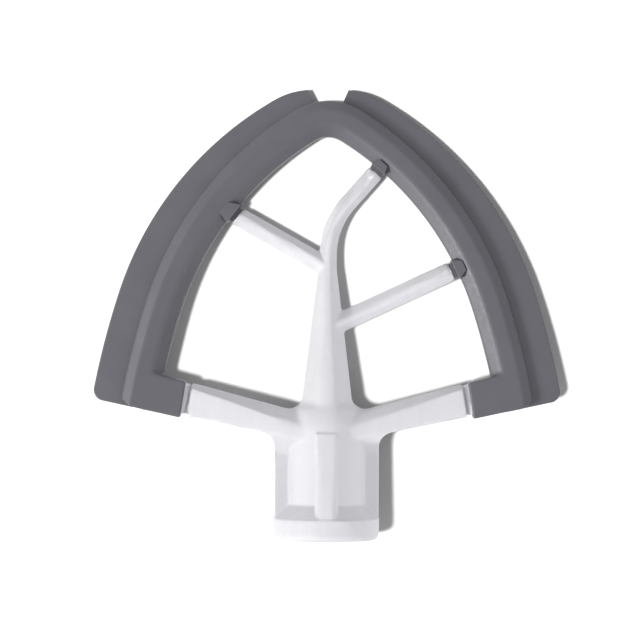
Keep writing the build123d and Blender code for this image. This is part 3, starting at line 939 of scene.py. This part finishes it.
# How much higher the shoulder starts at the crested fins, and how far that goes to each side.
crest_lift, crest_half, crest_fade = 3.0, 6.0, 3.0
branches_from, branches_fade, branches_share = 60.0, 8.0, 0.1


def near_joins(x, y):
    """1 where the arms, the fins and the spine run into the hub, falling to 0 around it, and
    again up to a small share along the branches."""
    low_end = shoulder_low + crest_lift * ramp(crest_half - np.abs(x), crest_fade)
    shoulder_share = (ramp(shoulder_half - np.abs(x), width_fade) * ramp(y - low_end, height_fade)
                      * ramp(shoulder_high - y, height_fade))
    return np.maximum(shoulder_share, branches_share * ramp(y - branches_from, branches_fade))


white_frame = fused("white_frame", frame_forms, voxel=0.33, passes=3, kept=0.5,
                    softer=near_joins, more_passes=120)
frame_pieces = [white_frame, arm_necks]

# %% [markdown]
# ## The finish of the frame
# The frame is a satin white nylon whose character is in small things: a fine grain, and a trace
# of the marks that the melt leaves as it flows along the mould. Painted image textures could show
# them, but noise on object coordinates needs no image and fits every piece without a seam.

# %% The finish of the frame


def finish(name, colour, roughness, specular):
    """A new material with its shader and object coordinates ready."""
    material = bpy.data.materials.new(name)
    material.use_nodes = True
    nodes, links = material.node_tree.nodes, material.node_tree.links
    shader = nodes["Principled BSDF"]
    shader.inputs["Base Color"].default_value = (*colour, 1)
    shader.inputs["Roughness"].default_value = roughness
    shader.inputs["Specular IOR Level"].default_value = specular
    place = nodes.new("ShaderNodeTexCoord")
    return material, nodes, links, shader, place.outputs["Object"]


def drawn_out(nodes, links, place, stretch):
    """The same coordinates squeezed along Y, so that what is laid on them is drawn out."""
    squeeze = nodes.new("ShaderNodeMapping")
    squeeze.inputs["Scale"].default_value = (1.0, 1.0 / stretch, 1.0)
    links.new(place, squeeze.inputs["Vector"])
    return squeeze.outputs["Vector"]


def clouds(nodes, links, place, scale, detail, low=0.0, high=1.0):
    """Noise of a scale per metre, spread between two values."""
    noise = nodes.new("ShaderNodeTexNoise")
    noise.inputs["Scale"].default_value = scale
    noise.inputs["Detail"].default_value = detail
    spread = nodes.new("ShaderNodeMapRange")
    spread.inputs["From Min"].default_value = 0.3
    spread.inputs["From Max"].default_value = 0.7
    spread.inputs["To Min"].default_value = low
    spread.inputs["To Max"].default_value = high
    links.new(place, noise.inputs["Vector"])
    links.new(noise.outputs["Fac"], spread.inputs["Value"])
    return spread.outputs["Result"]


def tint(nodes, links, shader, fac, first, second):
    """Colours the shader from the first colour to the second as fac goes from 0 to 1."""
    mix = nodes.new("ShaderNodeMix")
    mix.data_type = "RGBA"
    mix.inputs["A"].default_value = (*first, 1)
    mix.inputs["B"].default_value = (*second, 1)
    links.new(fac, mix.inputs["Factor"])
    links.new(mix.outputs["Result"], shader.inputs["Base Color"])


def grain(nodes, links, shader, height, distance, strength):
    """A bump of a height in metres on the shader's normal."""
    bump = nodes.new("ShaderNodeBump")
    bump.inputs["Distance"].default_value = distance
    bump.inputs["Strength"].default_value = strength
    links.new(height, bump.inputs["Height"])
    links.new(bump.outputs["Normal"], shader.inputs["Normal"])


nylon, nodes, links, shader, place = finish("satin white nylon", (0.745, 0.738, 0.778),
                                            roughness=0.42, specular=0.4)
flow = clouds(nodes, links, drawn_out(nodes, links, place, stretch=14.0), scale=420.0, detail=2.0)
tint(nodes, links, shader, flow, (0.733, 0.727, 0.770), (0.757, 0.750, 0.787))
sheen = clouds(nodes, links, place, scale=900.0, detail=2.0, low=0.44, high=0.56)
links.new(sheen, shader.inputs["Roughness"])
fine = clouds(nodes, links, place, scale=4200.0, detail=2.0)
grain(nodes, links, shader, fine, distance=0.03 * MM, strength=0.35)
print("the frame's material is", nylon.name)

# %% [markdown]
# ## The finish of the soft edge
# The edge is a soft silicone: duller than the frame, with a powdery grain and faint cloudiness.
# A subsurface shader could suggest its softness, but this dark grey lets hardly any light in, so
# a plain surface with a coarser grain looks the same and renders faster.

# %% The finish of the soft edge
silicone, nodes, links, shader, place = finish("soft grey silicone", (0.125, 0.122, 0.142),
                                               roughness=0.5, specular=0.5)
tone = clouds(nodes, links, place, scale=90.0, detail=4.0)
tint(nodes, links, shader, tone, (0.119, 0.116, 0.135), (0.131, 0.128, 0.149))
sheen = clouds(nodes, links, place, scale=700.0, detail=2.0, low=0.36, high=0.46)
links.new(sheen, shader.inputs["Roughness"])
powder = clouds(nodes, links, place, scale=3200.0, detail=3.0)
grain(nodes, links, shader, powder, distance=0.06 * MM, strength=0.5)

finishes = [(frame_pieces, nylon, "frame"), (soft_pieces, silicone, "flex_edge")]
for pieces, material, node in finishes:
    for piece in pieces:
        piece.data.materials.clear()
        piece.data.materials.append(material)
        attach(piece, "root")
        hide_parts(node)
print("the soft edge's material is", silicone.name)

# %% [markdown]
# ## The floor
# The beater lies on a plain pale sheet. A sheet as white as the picture would throw so much light
# back up that the beater's lower edges lose their shade. So Light Path makes it pale to the
# camera and to reflections, and darker to all other light.

# %% The floor
sheet_half, sheet_seen, sheet_thrown_back = 3.0, 0.54, 0.28
floor_height = cad_box[0][2]
corners = [(-sheet_half, -sheet_half), (sheet_half, -sheet_half), (sheet_half, sheet_half),
           (-sheet_half, sheet_half)]
sheet_mesh = bpy.data.meshes.new("floor")
sheet_mesh.from_pydata([(x, y, floor_height) for x, y in corners], [], [(0, 1, 2, 3)])
floor = bpy.data.objects.new("floor", sheet_mesh)
bpy.context.scene.collection.objects.link(floor)
paper, nodes, links, shader, _ = finish("white sheet", (sheet_seen,) * 3, roughness=0.9,
                                        specular=0.0)
path = nodes.new("ShaderNodeLightPath")
seen = nodes.new("ShaderNodeMath")
seen.operation = "MAXIMUM"
links.new(path.outputs["Is Camera Ray"], seen.inputs[0])
links.new(path.outputs["Is Glossy Ray"], seen.inputs[1])
tint(nodes, links, shader, seen.outputs["Value"], (sheet_thrown_back,) * 3, (sheet_seen,) * 3)
floor.data.materials.append(paper)
print("the floor is at Z =", round(floor_height / MM, 2), "mm")

# %% [markdown]
# ## The light
# The lamps share the work, as in a studio. Area lamps would do, but suns fall on every part at
# the same angle, so that a bevel keeps one tone along its whole length. A wide one low on the
# left lights the beater alone, because only light that comes in low tells one bevel from the
# next, and weak ones from the other side lift its shade. A narrow one draws the gleam on the soft
# edge's outer bevel. A high one lights the sheet alone, so that the beater's shadow on it is
# short and crisp. The pale room fills the shade of them all.

# %% The light
world = bpy.data.worlds.new("room")
world.use_nodes = True
bpy.context.scene.world = world
world.node_tree.nodes["Background"].inputs["Color"].default_value = (1, 1, 1, 1)
world.node_tree.nodes["Background"].inputs["Strength"].default_value = 0.58


def lamp(name, lit, azimuth, elevation, width, strength):
    """A sun whose light comes from an azimuth and elevation in degrees, as wide as an angle in
    degrees, that lights only some objects and is shaded by all of them."""
    light = bpy.data.lights.new(name, "SUN")
    light.angle = math.radians(width)
    light.energy = strength
    holder = bpy.data.objects.new(name, light)
    bpy.context.scene.collection.objects.link(holder)
    holder.rotation_euler = (0, math.radians(90 - elevation), math.radians(azimuth))
    receivers = bpy.data.collections.new(name + " falls on")
    for piece in lit:
        receivers.objects.link(piece)
    holder.light_linking.receiver_collection = receivers
    return light


key = lamp("wide side lamp", frame_pieces + soft_pieces,
           azimuth=202, elevation=33, width=14, strength=2.08)
key.color = (1.0, 0.995, 0.96)
lamp("weak far lamp", frame_pieces, azimuth=-20, elevation=32, width=30, strength=0.85)
lamp("weaker far lamp", soft_pieces, azimuth=-30, elevation=34, width=30, strength=0.4)
lamp("narrow edge lamp", soft_pieces, azimuth=172, elevation=34, width=12, strength=0.55)
lamp("high sheet lamp", [floor], azimuth=181, elevation=74.5, width=6, strength=6.4)
bpy.context.scene.view_settings.view_transform = "Standard"
print("lamps:", ", ".join(light.name for light in bpy.data.lights))
